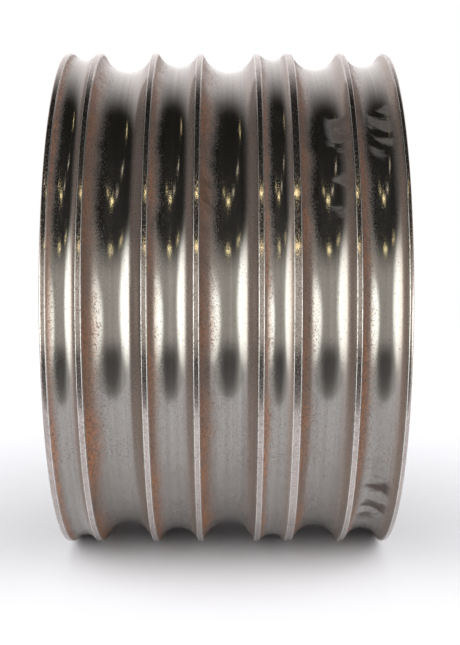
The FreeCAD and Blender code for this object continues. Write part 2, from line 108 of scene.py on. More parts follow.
def place(tree, group, **values):
    """Puts a shared node group in a material; values set or feed its inputs."""
    node = tree.nodes.new("ShaderNodeGroup")
    node.node_tree = group
    for name, value in values.items():
        socket = node.inputs[name.replace("_", " ")]
        if isinstance(value, (int, float)):
            socket.default_value = value
        else:
            tree.links.new(value, socket)
    return node


def material(name, metallic=1.0, roughness=0.4, colour=(0.5, 0.5, 0.5)):
    """A new material; returns it, its node tree and its Principled shader."""
    made = bpy.data.materials.new(name)
    made.use_nodes = True
    shader = made.node_tree.nodes["Principled BSDF"]
    shader.inputs["Metallic"].default_value = metallic
    shader.inputs["Roughness"].default_value = roughness
    shader.inputs["Base Color"].default_value = (*colour, 1.0)
    return made, made.node_tree, shader


def bump(tree, height, distance, strength=1.0, normal=None):
    node = tree.nodes.new("ShaderNodeBump")
    node.inputs["Distance"].default_value = distance
    node.inputs["Strength"].default_value = strength
    tree.links.new(height, node.inputs["Height"])
    if normal is not None:
        tree.links.new(normal, node.inputs["Normal"])
    return node.outputs["Normal"]


def finish_node(name, made):
    """Gives a carried-over CAD node its material."""
    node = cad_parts[name]
    node.data.materials.clear()
    node.data.materials.append(made)


def finished(work, name, stands_for, made, body, sharp=20.0):
    """Makes a mesh into a piece that rides on a body and stands for a plain CAD node."""
    bmesh.ops.recalc_face_normals(work, faces=work.faces)
    for face in work.faces:
        face.smooth = True
    mesh = bpy.data.meshes.new(name)
    work.to_mesh(mesh)
    work.free()
    mesh.set_sharp_from_angle(angle=math.radians(sharp))
    mesh.materials.append(made)
    piece = bpy.data.objects.new(name, mesh)
    bpy.context.scene.collection.objects.link(piece)
    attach(piece, body)
    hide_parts(stands_for)
    return piece


def eased(node, made, width, body):
    """A copy of a CAD piece with its sharp corners broken, as a file or a tumbling barrel leaves them."""
    work = bmesh.new()
    work.from_mesh(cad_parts[node].data)
    bmesh.ops.remove_doubles(work, verts=work.verts, dist=0.002 * MM)
    bmesh.ops.dissolve_limit(work, angle_limit=math.radians(0.3), verts=work.verts, edges=work.edges)
    bmesh.ops.recalc_face_normals(work, faces=work.faces)
    sharp_from = math.radians(28)
    corners = [edge for edge in work.edges if edge.is_manifold and edge.calc_face_angle() > sharp_from]
    bmesh.ops.bevel(work, geom=corners, offset=width * MM, offset_type="OFFSET", segments=2, profile=0.5,
                    affect="EDGES", clamp_overlap=True, material=-1)
    return finished(work, f"{node}_eased", node, made, body)


# Lathe marks: rings round the axle line on round surfaces, and circles on faces.
lathe_marks, entry, leave = node_group(
    "lathe_marks",
    [("Spacing", "NodeSocketFloat", 0.0004), ("Drift", "NodeSocketFloat", 6.0)],
    [("Height", "NodeSocketFloat"), ("Streak", "NodeSocketFloat")],
)
where = lathe_marks.nodes.new("ShaderNodeTexCoord").outputs["Object"]
split = lathe_marks.nodes.new("ShaderNodeSeparateXYZ")
lathe_marks.links.new(where, split.inputs[0])
squares = [maths(lathe_marks, "MULTIPLY", split.outputs[axis], split.outputs[axis]) for axis in ("X", "Z")]
radius = maths(lathe_marks, "SQRT", maths(lathe_marks, "ADD", *squares))
reach = maths(lathe_marks, "ADD", radius, split.outputs["Y"])
across = maths(lathe_marks, "DIVIDE", reach, entry.outputs["Spacing"])
drift = [maths(lathe_marks, "MULTIPLY", split.outputs[axis], entry.outputs["Drift"]) for axis in ("X", "Z")]
join = lathe_marks.nodes.new("ShaderNodeCombineXYZ")
for socket, value in zip(join.inputs, (across, *drift)):
    lathe_marks.links.new(value, socket)
lathe_marks.links.new(noise(lathe_marks, join.outputs[0], 1.0, 2.0, 0.5), leave.inputs["Height"])
lathe_marks.links.new(noise(lathe_marks, join.outputs[0], 0.21, 3.0, 0.6), leave.inputs["Streak"])

# Corner wear: 1 along the sharp corners of a piece and 0 on its flats, with a ragged edge.
corner_wear, entry, leave = node_group(
    "corner_wear",
    [("Raggedness", "NodeSocketFloat", 0.5)],
    [("Mask", "NodeSocketFloat"), ("Rounded", "NodeSocketVector")],
)
soft = corner_wear.nodes.new("ShaderNodeBevel")
soft.samples = 4
soft.inputs["Radius"].default_value = 0.0006
flat = corner_wear.nodes.new("ShaderNodeNewGeometry")
dot = corner_wear.nodes.new("ShaderNodeVectorMath")
dot.operation = "DOT_PRODUCT"
corner_wear.links.new(soft.outputs["Normal"], dot.inputs[0])
corner_wear.links.new(flat.outputs["Normal"], dot.inputs[1])
where = corner_wear.nodes.new("ShaderNodeTexCoord").outputs["Object"]
ragged = noise(corner_wear, where, 420.0, 5.0, 0.65)
ragged = maths(corner_wear, "MULTIPLY", ragged, entry.outputs["Raggedness"])
bend = maths(corner_wear, "SUBTRACT", 1.0, dot.outputs["Value"])
rubbed_away = maths(corner_wear, "ADD", bend, maths(corner_wear, "MULTIPLY", ragged, bend))
corner_wear.links.new(ramp(corner_wear, rubbed_away, 0.02, 0.16), leave.inputs["Mask"])
corner_wear.links.new(soft.outputs["Normal"], leave.inputs["Rounded"])

# Blotches: soft-edged patches of stain, rust or dust.
blotches, entry, leave = node_group(
    "blotches",
    [("Scale", "NodeSocketFloat", 30.0), ("Cover", "NodeSocketFloat", 0.5)],
    [("Mask", "NodeSocketFloat"), ("Fine", "NodeSocketFloat")],
)
where = blotches.nodes.new("ShaderNodeTexCoord").outputs["Object"]
wide = blotches.nodes.new("ShaderNodeTexNoise")
wide.inputs["Detail"].default_value = 7.0
wide.inputs["Roughness"].default_value = 0.62
blotches.links.new(where, wide.inputs["Vector"])
blotches.links.new(entry.outputs["Scale"], wide.inputs["Scale"])
level = maths(blotches, "ADD", wide.outputs["Fac"], entry.outputs["Cover"])
blotches.links.new(ramp(blotches, level, 0.94, 1.12), leave.inputs["Mask"])
blotches.links.new(noise(blotches, where, 900.0, 3.0, 0.7), leave.inputs["Fine"])


def turned_steel(name, colour, roughness, spacing=0.0004, stain=0.35, stain_colour=(0.16, 0.10, 0.07)):
    """Bare machined steel: lathe marks, faint stains and bright corners."""
    made, tree, shader = material(name)
    marks = place(tree, lathe_marks, Spacing=spacing)
    wear = place(tree, corner_wear)
    stains = place(tree, blotches, Scale=60.0, Cover=stain)
    darker = tuple(0.8 * c for c in colour)
    tone = blend(tree, ramp(tree, marks.outputs["Streak"], 0.35, 0.7), darker, colour)
    stained = blend(tree, maths(tree, "MULTIPLY", stains.outputs["Mask"], 0.5), tone, stain_colour)
    bright = tuple(min(1.0, 1.25 * c) for c in colour)
    tree.links.new(blend(tree, wear.outputs["Mask"], stained, bright), shader.inputs["Base Color"])
    rough = maths(tree, "ADD", roughness, maths(tree, "MULTIPLY", stains.outputs["Mask"], 0.2))
    rough = maths(tree, "ADD", rough, maths(tree, "MULTIPLY", marks.outputs["Streak"], 0.12))
    tree.links.new(rough, shader.inputs["Roughness"])
    normal = bump(tree, marks.outputs["Height"], 0.00003, 0.6, wear.outputs["Rounded"])
    tree.links.new(normal, shader.inputs["Normal"])
    return made


sleeve_steel = turned_steel("sleeve_steel", (0.52, 0.51, 0.49), 0.22)
eased("axle_sleeve", sleeve_steel, 0.3, "axle")
finish_node("bearing_spacer", sleeve_steel)

# ---------------------------------------------------------------------------------------------
# Bearings: inner rings, outer rings and balls of ground, hardened steel, with riveted brass cages.
# The inner rings sit on the sleeve and the outer rings in the hub tube, closed in by the covers.

race_steel = turned_steel("race_steel", (0.60, 0.60, 0.61), 0.10, spacing=0.0002, stain=0.1)
cage_brass = turned_steel("cage_brass", (0.62, 0.42, 0.16), 0.26, stain=0.3, stain_colour=(0.2, 0.12, 0.05))
for end in ("left", "right"):
    for piece in ("inner_ring", "outer_ring", "bearing_balls"):
        finish_node(f"{end}_{piece}", race_steel)
    for piece in ("cage_halves", "cage_rivets"):
        finish_node(f"{end}_{piece}", cage_brass)

# ---------------------------------------------------------------------------------------------
# Lock nuts and tab washers: turned and stamped steel with a black oxide finish. The nuts are
# threaded on the sleeve and press the washers against the inner rings.

black_steel, tree, shader = material("black_steel", roughness=0.45)
wear = place(tree, corner_wear)
stains = place(tree, blotches, Scale=80.0, Cover=0.3)
tone = blend(tree, stains.outputs["Mask"], (0.03, 0.03, 0.035), (0.07, 0.06, 0.05))
tree.links.new(blend(tree, wear.outputs["Mask"], tone, (0.35, 0.34, 0.33)), shader.inputs["Base Color"])
tree.links.new(wear.outputs["Rounded"], shader.inputs["Normal"])
for end in ("left", "right"):
    eased(f"{end}_lock_nut", black_steel, 0.4, "axle")
    finish_node(f"{end}_tab_washer", black_steel)

# ---------------------------------------------------------------------------------------------
# Hub tube, webs and ribs: the drum's inner frame, cut from tube and plate, welded, then brushed
# with dark grey enamel that has chipped at the corners.

enamel, tree, shader = material("grey_enamel", metallic=0.0, roughness=0.42)
wear = place(tree, corner_wear, Raggedness=1.6)
dirt = place(tree, blotches, Scale=24.0, Cover=0.42)
chips = place(tree, blotches, Scale=150.0, Cover=0.22)
bare = maths(tree, "MAXIMUM", wear.outputs["Mask"], chips.outputs["Mask"])
paint = blend(tree, dirt.outputs["Mask"], (0.060, 0.066, 0.070), (0.105, 0.098, 0.085))
rust_tone = blend(tree, dirt.outputs["Fine"], (0.20, 0.075, 0.030), (0.11, 0.05, 0.03))
tree.links.new(blend(tree, bare, paint, rust_tone), shader.inputs["Base Color"])
rough = maths(tree, "ADD", 0.36, maths(tree, "MULTIPLY", dirt.outputs["Mask"], 0.3))
tree.links.new(maths(tree, "ADD", rough, maths(tree, "MULTIPLY", bare, 0.3)), shader.inputs["Roughness"])
where = tree.nodes.new("ShaderNodeTexCoord").outputs["Object"]
brushed = noise(tree, where, 260.0, 4.0, 0.6)
depth = maths(tree, "SUBTRACT", brushed, maths(tree, "MULTIPLY", bare, 0.8))
tree.links.new(bump(tree, depth, 0.0003, 0.5, wear.outputs["Rounded"]), shader.inputs["Normal"])
eased("hub_tube", enamel, 0.4, "pulley")
for end in ("left", "right"):
    eased(f"{end}_web", enamel, 0.8, "pulley")
    eased(f"{end}_web_ribs", enamel, 0.8, "pulley")

# ---------------------------------------------------------------------------------------------
# Fillet welds: round the hub and the rim on each web, and along both sides of each rib. Laid by
# hand in overlapping ripples, and painted with the frame.

WEB_FACE = 61.0 * MM
HUB_R = 65.0 * MM
WALL_R = 128.0 * MM
RING_LEG = 6.0 * MM
RIB_LEG = 4.0 * MM
RIB_HALF_THICKNESS = 4.0 * MM
RIB_WELD_START = 74.5 * MM
RIB_WELD_END = 118.5 * MM
RIBS = 6
RIPPLE = 3.2 * MM
RIPPLE_STEPS = 5
CROWN = 0.7 * MM
RIPPLE_HEIGHT = 0.45 * MM
RIPPLE_BOW = 0.55
WELD_FACE_STEPS = 8
WELD_ROOT = 2.0
WELD_TAPER = 0.08
AXLE_LINE = Vector((0.0, 1.0, 0.0))
TO_LEFT = Matrix.Rotation(math.pi, 3, "Z")


def weld_section(work, root, toe, other_toe):
    """A fillet weld's closed section; `over` runs from -1 to 1 across its face; its root has WELD_ROOT."""
    over = work.verts.layers.float.new("over")
    places = [(root, WELD_ROOT)]
    for step in range(WELD_FACE_STEPS + 1):
        share = step / WELD_FACE_STEPS
        places.append((toe.lerp(other_toe, share), 2 * share - 1))
    corners = []
    for spot, value in places:
        corner = work.verts.new(spot)
        corner[over] = value
        corners.append(corner)
    return corners + [work.edges.new(pair) for pair in zip(corners, corners[1:] + corners[:1])]


def ripple(along, over):
    """How far a weld's face stands out, a distance along it and `over` across it."""
    hump = 1 - over ** 2
    phase = along / RIPPLE + RIPPLE_BOW * hump
    fall = 1 - (phase - math.floor(phase)) ** 2
    wander = noise_value(Vector((along / (9 * MM), over, 0.0)))
    return hump * (CROWN + RIPPLE_HEIGHT * (fall + 0.5 * wander))


def ring_weld(end, node, wall_r, inwards):
    """A weld between the web's face and a round wall; inwards is -1 where the wall is outside."""
    work = bmesh.new()
    root = Vector((wall_r, WEB_FACE, 0.0))
    toe = root + Vector((inwards * RING_LEG, 0.0, 0.0))
    section = weld_section(work, root, toe, root + Vector((0.0, RING_LEG, 0.0)))
    steps = RIPPLE_STEPS * round(2 * math.pi * wall_r / RIPPLE)
    bmesh.ops.spin(work, geom=section, cent=(0, 0, 0), axis=AXLE_LINE, dvec=(0, 0, 0),
                   angle=2 * math.pi, steps=steps, use_merge=True, use_duplicate=False)
    over = work.verts.layers.float["over"]
    for vertex in work.verts:
        if vertex[over] < WELD_ROOT:
            outwards = Vector((vertex.co.x, 0.0, vertex.co.z)).normalized()
            along = math.atan2(vertex.co.z, vertex.co.x) * wall_r
            vertex.co += (AXLE_LINE + inwards * outwards).normalized() * ripple(along, vertex[over])
    if end == "left":
        bmesh.ops.rotate(work, cent=(0, 0, 0), matrix=TO_LEFT, verts=work.verts)
    finished(work, f"{node}_rippled", node, enamel, "pulley", sharp=60.0)


def copied(work, parts):
    """Copies parts of a mesh; returns the copy's vertices."""
    copy = bmesh.ops.duplicate(work, geom=parts)["geom"]
    return [part for part in copy if isinstance(part, bmesh.types.BMVert)]


def rib_welds(end):
    """Twelve short welds, one along each side of each rib, with tapered ends."""
    work = bmesh.new()
    root = Vector((RIB_WELD_START, WEB_FACE, RIB_HALF_THICKNESS))
    toes = (root + Vector((0.0, 0.0, RIB_LEG)), root + Vector((0.0, RIB_LEG, 0.0)))
    section = weld_section(work, root, *toes)
    length = RIB_WELD_END - RIB_WELD_START
    steps = RIPPLE_STEPS * round(length / RIPPLE)
    bmesh.ops.spin(work, geom=section, cent=(0, 0, 0), axis=AXLE_LINE, dvec=(length / steps, 0, 0),
                   angle=0.0, steps=steps, use_merge=False, use_duplicate=False)
    bmesh.ops.holes_fill(work, edges=[edge for edge in work.edges if edge.is_boundary], sides=0)
    over = work.verts.layers.float["over"]
    for vertex in work.verts:
        along = vertex.co.x - RIB_WELD_START
        if vertex[over] < WELD_ROOT:
            vertex.co += Vector((0.0, 1.0, 1.0)).normalized() * ripple(along, vertex[over])
        near_end = max(0.0, abs(2 * along / length - 1) - (1 - WELD_TAPER)) / WELD_TAPER
        fullness = 0.25 + 0.75 * math.sqrt(max(0.0, 1 - near_end ** 2))
        vertex.co.y = WEB_FACE + (vertex.co.y - WEB_FACE) * fullness
        vertex.co.z = RIB_HALF_THICKNESS + (vertex.co.z - RIB_HALF_THICKNESS) * fullness
    one_side = work.verts[:] + work.edges[:] + work.faces[:]
    bmesh.ops.scale(work, vec=(1.0, 1.0, -1.0), verts=copied(work, one_side))
    pair = work.verts[:] + work.edges[:] + work.faces[:]
    for number in range(1, RIBS):
        turn = Matrix.Rotation(2 * math.pi * number / RIBS, 3, "Y")
        bmesh.ops.rotate(work, cent=(0, 0, 0), matrix=turn, verts=copied(work, pair))
    if end == "left":
        bmesh.ops.rotate(work, cent=(0, 0, 0), matrix=TO_LEFT, verts=work.verts)
    node = f"{end}_rib_welds"
    finished(work, f"{node}_rippled", node, enamel, "pulley", sharp=60.0)


for end in ("left", "right"):
    ring_weld(end, f"{end}_rim_weld", WALL_R, -1)
    ring_weld(end, f"{end}_hub_weld", HUB_R, 1)
    rib_welds(end)

# ---------------------------------------------------------------------------------------------
# Grooved rim: one thick steel ring, turned all over, with seven round grooves between narrow flat
# lands. Ropes have polished the grooves; a film of rust is left on the wall that they miss.

SMALL = (15.5 * MM, 3.9 * MM)
MEDIUM = (24.0 * MM, 7.9 * MM)
WIDE = (28.1 * MM, 9.6 * MM)
LARGE = (30.7 * MM, 11.2 * MM)
GROOVES = [SMALL, LARGE, MEDIUM, LARGE, SMALL, WIDE, MEDIUM]
LANDS = [width * MM for width in (3.1, 2.8, 2.8, 2.8, 2.8, 3.9, 2.7, 2.3)]
RIM_R = 150.0 * MM
RIM_BORE_R = 128.0 * MM
RIM_HALF = (sum(LANDS) + sum(width for width, _ in GROOVES)) / 2
LAND_CORNER_R = 0.5 * MM
END_CORNER_R = 1.2 * MM
BORE_CHAMFER = 1.5 * MM
GROOVE_STEP = 3.0 * MM
RIM_STEPS = 384


def arc(centre, radius, start, end, steps, across=0.0, land=1.0):
    """Points (radius, y, across, land) round a centre; angles turn from straight outwards towards +Y."""
    points = []
    for i in range(steps + 1):
        turn = start + (end - start) * i / steps
        r, y = centre[0] + radius * math.cos(turn), centre[1] + radius * math.sin(turn)
        points.append((r, y, across, land))
    return points


def painted_highlight_corner(points):
    """Marks the points of a rounded corner, between its ends, with a land value of 2, where the rim's
    material paints a bright highlight.
    """
    return points[:1] + [(r, h, across, 2.0) for r, h, across, _ in points[1:-1]] + points[-1:]


def rim_outline():
    """The rim's section; across runs from -1 to 1 over a groove, and land is 1, or 2 on a land's corners,
    which carry a painted highlight.
    """
    outline = arc((RIM_R - END_CORNER_R, END_CORNER_R - RIM_HALF), END_CORNER_R, -math.pi / 2, 0.0, 4)
    y = -RIM_HALF
    for land_width, (width, depth) in zip(LANDS, GROOVES):
        middle = y + land_width + width / 2
        y += land_width + width
        groove_r = (width ** 2 / 4 + depth ** 2) / (2 * depth)
        corner = RIM_R - LAND_CORNER_R
        reach = math.sqrt((groove_r + LAND_CORNER_R) ** 2 - (groove_r - depth + LAND_CORNER_R) ** 2)
        tilt = math.asin(reach / (groove_r + LAND_CORNER_R))
        steps = 2 * round(width / GROOVE_STEP) + 6
        hollow = arc((RIM_R - depth + groove_r, middle), groove_r, math.pi + tilt, math.pi - tilt, steps)
        outline += painted_highlight_corner(arc((corner, middle - reach), LAND_CORNER_R, 0.0, tilt, 5, across=-1.0))
        outline += [(r, h, (h - middle) / (width / 2), 0.0) for r, h, _, _ in hollow[1:-1]]
        outline += painted_highlight_corner(arc((corner, middle + reach), LAND_CORNER_R, -tilt, 0.0, 5, across=1.0))
    outline += arc((RIM_R - END_CORNER_R, RIM_HALF - END_CORNER_R), END_CORNER_R, 0.0, math.pi / 2, 4)
    bore = [(RIM_BORE_R + BORE_CHAMFER, RIM_HALF), (RIM_BORE_R, RIM_HALF - BORE_CHAMFER),
            (RIM_BORE_R, BORE_CHAMFER - RIM_HALF), (RIM_BORE_R + BORE_CHAMFER, -RIM_HALF)]
    return outline + [(r, h, 0.0, 0.0) for r, h in bore]


def spun(name, outline, steps=RIM_STEPS, sharp=35.0):
    """Spins a section of (radius, y) points round the axle line; further values become attributes."""
    mesh = bpy.data.meshes.new(name)
    work = bmesh.new()
    layers = [work.verts.layers.float.new(label) for label in ("across", "land")[:len(outline[0]) - 2]]
    corners = [work.verts.new((point[0], point[1], 0.0)) for point in outline]
    for vertex, point in zip(corners, outline):
        for layer, value in zip(layers, point[2:]):
            vertex[layer] = value
    edges = [work.edges.new(pair) for pair in zip(corners, corners[1:] + corners[:1])]
    bmesh.ops.spin(work, geom=corners + edges, cent=(0, 0, 0), axis=(0, 1, 0), dvec=(0, 0, 0),
                   angle=2 * math.pi, steps=steps, use_merge=True, use_duplicate=False)
    bmesh.ops.recalc_face_normals(work, faces=work.faces)
    for face in work.faces:
        face.smooth = True
    work.to_mesh(mesh)
    work.free()
    mesh.set_sharp_from_angle(angle=math.radians(sharp))
    made = bpy.data.objects.new(name, mesh)
    bpy.context.scene.collection.objects.link(made)
    return made


rim = spun("grooved_rim_turned", rim_outline())

rim_steel, tree, shader = material("rim_steel")
where = tree.nodes.new("ShaderNodeTexCoord").outputs["Object"]
across = tree.nodes.new("ShaderNodeAttribute")
across.attribute_name = "across"
land = tree.nodes.new("ShaderNodeAttribute")
land.attribute_name = "land"
marks = place(tree, lathe_marks, Spacing=0.0005, Drift=9.0)
patch = place(tree, blotches, Scale=22.0, Cover=0.42)
grain = noise(tree, where, 1050.0, 3.0, 0.75)
clouds = noise(tree, where, 26.0, 5.0, 0.62)
split = tree.nodes.new("ShaderNodeSeparateXYZ")
tree.links.new(where, split.inputs[0])
low_down = ramp(tree, split.outputs["Z"], 0.0, -0.11)
in_groove = maths(tree, "SUBTRACT", 1.0, land.outputs["Fac"], clamp=True)
# Land corners (land value 2) carry a painted highlight: a pale base colour and more roughness make them show
# as bright lines
corner = maths(tree, "SUBTRACT", land.outputs["Fac"], 1.0, clamp=True)
# Rust: solid on the left wall of each groove, breaking up into specks towards the groove's bottom
left_half = ramp(tree, across.outputs["Fac"], 0.15, -0.55)
worn = maths(tree, "MULTIPLY", left_half, in_groove)
worn = maths(tree, "MAXIMUM", worn, maths(tree, "MULTIPLY", low_down, 0.8))
worn = maths(tree, "MAXIMUM", worn, land.outputs["Fac"], clamp=True)
leftness = maths(tree, "SUBTRACT", maths(tree, "MULTIPLY", clouds, 0.9), across.outputs["Fac"])
leftness = maths(tree, "ADD", leftness, maths(tree, "MULTIPLY", grain, 0.5))
film = maths(tree, "MULTIPLY", ramp(tree, leftness, 1.05, 1.80), in_groove)
# Wiped smears of thin brown film: from and to in degrees above the front of the drum, from and to
# in mm along the axle, and strength
SMEAR_SOFT_ANGLE = math.radians(4)
SMEARS = [(24, 50, 52, 68, 0.8), (38, 54, 74, 92, 0.6), (-58, -35, 72, 92, 0.9), (20, 33, -16, -5, 0.7)]
turned_by = maths(tree, "ARCTAN2", split.outputs["Z"], split.outputs["X"])
smeared = None
for low, high, left_edge, right_edge, strength in SMEARS:
    foot, top = math.radians(low), math.radians(high)
    area = ramp(tree, turned_by, foot - SMEAR_SOFT_ANGLE, foot + SMEAR_SOFT_ANGLE)
    below = ramp(tree, turned_by, top + SMEAR_SOFT_ANGLE, top - SMEAR_SOFT_ANGLE, 0.0, strength)
    area = maths(tree, "MULTIPLY", area, below)
    for edge, soft_edge in ((left_edge, 6), (right_edge, -5)):
        inside = ramp(tree, split.outputs["Y"], edge * MM, (edge + soft_edge) * MM)
        area = maths(tree, "MULTIPLY", area, inside)
    smeared = area if smeared is None else maths(tree, "MAXIMUM", smeared, area)
half_along = maths(tree, "MULTIPLY", split.outputs["Y"], 0.5)
slope = maths(tree, "ADD", maths(tree, "MULTIPLY", turned_by, RIM_R), half_along)
swipe = tree.nodes.new("ShaderNodeCombineXYZ")
for socket, value in zip(swipe.inputs, (slope, half_along)):
    tree.links.new(value, socket)
swipes = ramp(tree, noise(tree, swipe.outputs[0], 95.0, 3.0, 0.45), 0.47, 0.60)
smeared = maths(tree, "MULTIPLY", smeared, swipes)
smeared = maths(tree, "MULTIPLY", smeared, in_groove)
specks = ramp(tree, maths(tree, "ADD", grain, maths(tree, "MULTIPLY", clouds, 0.3)), 0.67, 0.77)
sandy = ramp(tree, noise(tree, where, 900.0, 2.0, 0.6), 0.60, 0.68, 0.0, 0.55)
sandy = maths(tree, "MULTIPLY", sandy, in_groove)
specks = maths(tree, "MAXIMUM", maths(tree, "MULTIPLY", specks, worn), sandy)
streak = ramp(tree, marks.outputs["Streak"], 0.3, 0.7)
clean = blend(tree, streak, (0.275, 0.263, 0.250), (0.350, 0.337, 0.320))
grain_share = maths(tree, "ADD", maths(tree, "MULTIPLY", worn, 0.85), 0.15)
dark_grain = maths(tree, "MULTIPLY", ramp(tree, grain, 0.56, 0.36), grain_share)
grained = blend(tree, dark_grain, clean, (0.20, 0.19, 0.18))
# The walls of a groove keep a thin brown stain that its polished bottom has lost
wall = ramp(tree, maths(tree, "ABSOLUTE", across.outputs["Fac"]), 0.40, 0.95, 0.0, 0.85)
grained = blend(tree, maths(tree, "MULTIPLY", wall, in_groove), grained, (0.245, 0.183, 0.150))
fine_pits = maths(tree, "MULTIPLY", ramp(tree, grain, 0.49, 0.60), maths(tree, "MULTIPLY", low_down, 0.5))
grained = blend(tree, fine_pits, grained, (0.150, 0.112, 0.088))
pinkish = blend(tree, ramp(tree, grain, 0.36, 0.56), (0.24, 0.19, 0.17), (0.50, 0.46, 0.44))
bare = blend(tree, maths(tree, "MINIMUM", land.outputs["Fac"], 1.0), grained, pinkish)
# Painted highlight: a pale, near-white colour on the land corners
bare = blend(tree, corner, bare, (0.66, 0.64, 0.62))
pitted = blend(tree, maths(tree, "MULTIPLY", specks, 0.65), bare, (0.085, 0.062, 0.05))
rust_tone = blend(tree, ramp(tree, clouds, 0.35, 0.65), (0.105, 0.050, 0.030), (0.21, 0.088, 0.040))
# Low down the rust is lighter and more orange: partly heavier rust there, partly painted light on the lower
# drum
painted_lit_low_rust = blend(tree, ramp(tree, clouds, 0.30, 0.60), (0.185, 0.088, 0.048), (0.36, 0.140, 0.052))
rust_tone = blend(tree, low_down, rust_tone, painted_lit_low_rust)
mottle = noise(tree, where, 620.0, 4.0, 0.7)
rust_tone = blend(tree, ramp(tree, mottle, 0.56, 0.40), rust_tone, (0.062, 0.031, 0.020))
rusted = blend(tree, maths(tree, "MULTIPLY", film, 0.88), pitted, rust_tone)
tree.links.new(blend(tree, smeared, rusted, (0.036, 0.021, 0.014)), shader.inputs["Base Color"])
dull = maths(tree, "MULTIPLY", ramp(tree, across.outputs["Fac"], 0.45, 0.9), in_groove)
cover = maths(tree, "ADD", maths(tree, "MULTIPLY", film, 0.6), maths(tree, "MULTIPLY", dull, 0.2))
cover = maths(tree, "ADD", cover, maths(tree, "MULTIPLY", low_down, 0.35))
cover = maths(tree, "MAXIMUM", cover, maths(tree, "MULTIPLY", smeared, 0.6))
tree.links.new(maths(tree, "SUBTRACT", 1.0, cover), shader.inputs["Metallic"])
rough = maths(tree, "ADD", 0.085, maths(tree, "MULTIPLY", film, 0.29))
rough = maths(tree, "ADD", rough, maths(tree, "MULTIPLY", grain, 0.08))
rough = maths(tree, "ADD", rough, maths(tree, "MULTIPLY", smeared, 0.3))
rough = maths(tree, "ADD", rough, maths(tree, "MULTIPLY", specks, 0.2))
rough = maths(tree, "ADD", rough, maths(tree, "MULTIPLY", patch.outputs["Mask"], 0.06))
rough = maths(tree, "ADD", rough, maths(tree, "MULTIPLY", low_down, 0.05))
rough = maths(tree, "ADD", rough, maths(tree, "MULTIPLY", corner, 0.22))
rough = maths(tree, "ADD", rough, maths(tree, "MULTIPLY", dull, 0.15))
tree.links.new(rough, shader.inputs["Roughness"])
height = maths(tree, "SUBTRACT", maths(tree, "MULTIPLY", marks.outputs["Height"], 0.25), specks)
sanded = bump(tree, grain, 0.0001, 0.08)
tree.links.new(bump(tree, height, 0.00002, 0.2, sanded), shader.inputs["Normal"])
rim.data.materials.append(rim_steel)
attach(rim, "pulley")
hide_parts("grooved_rim")

# ---------------------------------------------------------------------------------------------
# Bearing covers and gaskets: cast iron covers, turned on their faces. They are bolted to the ends
# of the hub tube over gaskets cut from fibre sheet, and hold the outer rings in.

cover_iron, tree, shader = material("cover_iron", metallic=0.85, roughness=0.4)
marks = place(tree, lathe_marks, Spacing=0.0009)
wear = place(tree, corner_wear, Raggedness=1.0)
stains = place(tree, blotches, Scale=45.0, Cover=0.4)
tone = blend(tree, ramp(tree, marks.outputs["Streak"], 0.3, 0.7), (0.17, 0.165, 0.16), (0.26, 0.255, 0.25))
tone = blend(tree, maths(tree, "MULTIPLY", stains.outputs["Mask"], 0.6), tone, (0.13, 0.08, 0.05))
tree.links.new(blend(tree, wear.outputs["Mask"], tone, (0.45, 0.44, 0.43)), shader.inputs["Base Color"])
rough = maths(tree, "ADD", 0.3, maths(tree, "MULTIPLY", stains.outputs["Mask"], 0.3))
tree.links.new(rough, shader.inputs["Roughness"])
turned_face = bump(tree, marks.outputs["Height"], 0.00005, 0.6, wear.outputs["Rounded"])
tree.links.new(turned_face, shader.inputs["Normal"])

gasket_fibre, tree, shader = material("gasket_fibre", metallic=0.0, roughness=0.8)
fibre = place(tree, blotches, Scale=300.0, Cover=0.45)
tone = blend(tree, fibre.outputs["Mask"], (0.13, 0.10, 0.06), (0.06, 0.045, 0.03))
tree.links.new(tone, shader.inputs["Base Color"])
tree.links.new(bump(tree, fibre.outputs["Fine"], 0.0001, 0.4), shader.inputs["Normal"])
for end in ("left", "right"):
    eased(f"{end}_bearing_cover", cover_iron, 0.7, "pulley")
    finish_node(f"{end}_cover_gasket", gasket_fibre)

# ---------------------------------------------------------------------------------------------
# Lip seals and garter springs: moulded nitrile rubber pressed into the covers, each with a spring
# ring behind its lip.

seal_rubber, tree, shader = material("seal_rubber", metallic=0.0, roughness=0.5)
film = place(tree, blotches, Scale=70.0, Cover=0.45)
tone = blend(tree, film.outputs["Mask"], (0.018, 0.017, 0.017), (0.05, 0.045, 0.04))
tree.links.new(tone, shader.inputs["Base Color"])
rough = maths(tree, "ADD", 0.38, maths(tree, "MULTIPLY", film.outputs["Mask"], 0.3))
tree.links.new(rough, shader.inputs["Roughness"])
tree.links.new(bump(tree, film.outputs["Fine"], 0.00005, 0.3), shader.inputs["Normal"])

# ---------------------------------------------------------------------------------------------
# Cover bolts, spring washers and grease nipples: the bolts and nipples are zinc plated steel, the
# washers are spring steel. All of them are screwed into or clamped on the covers.

zinc, tree, shader = material("dull_zinc", roughness=0.35)
wear = place(tree, corner_wear)
bloom = place(tree, blotches, Scale=180.0, Cover=0.45)
tone = blend(tree, bloom.outputs["Mask"], (0.52, 0.52, 0.49), (0.36, 0.35, 0.33))
tree.links.new(blend(tree, wear.outputs["Mask"], tone, (0.72, 0.72, 0.70)), shader.inputs["Base Color"])
rough = maths(tree, "ADD", 0.28, maths(tree, "MULTIPLY", bloom.outputs["Mask"], 0.25))
tree.links.new(rough, shader.inputs["Roughness"])
pitted_plate = bump(tree, bloom.outputs["Fine"], 0.00003, 0.4, wear.outputs["Rounded"])
tree.links.new(pitted_plate, shader.inputs["Normal"])

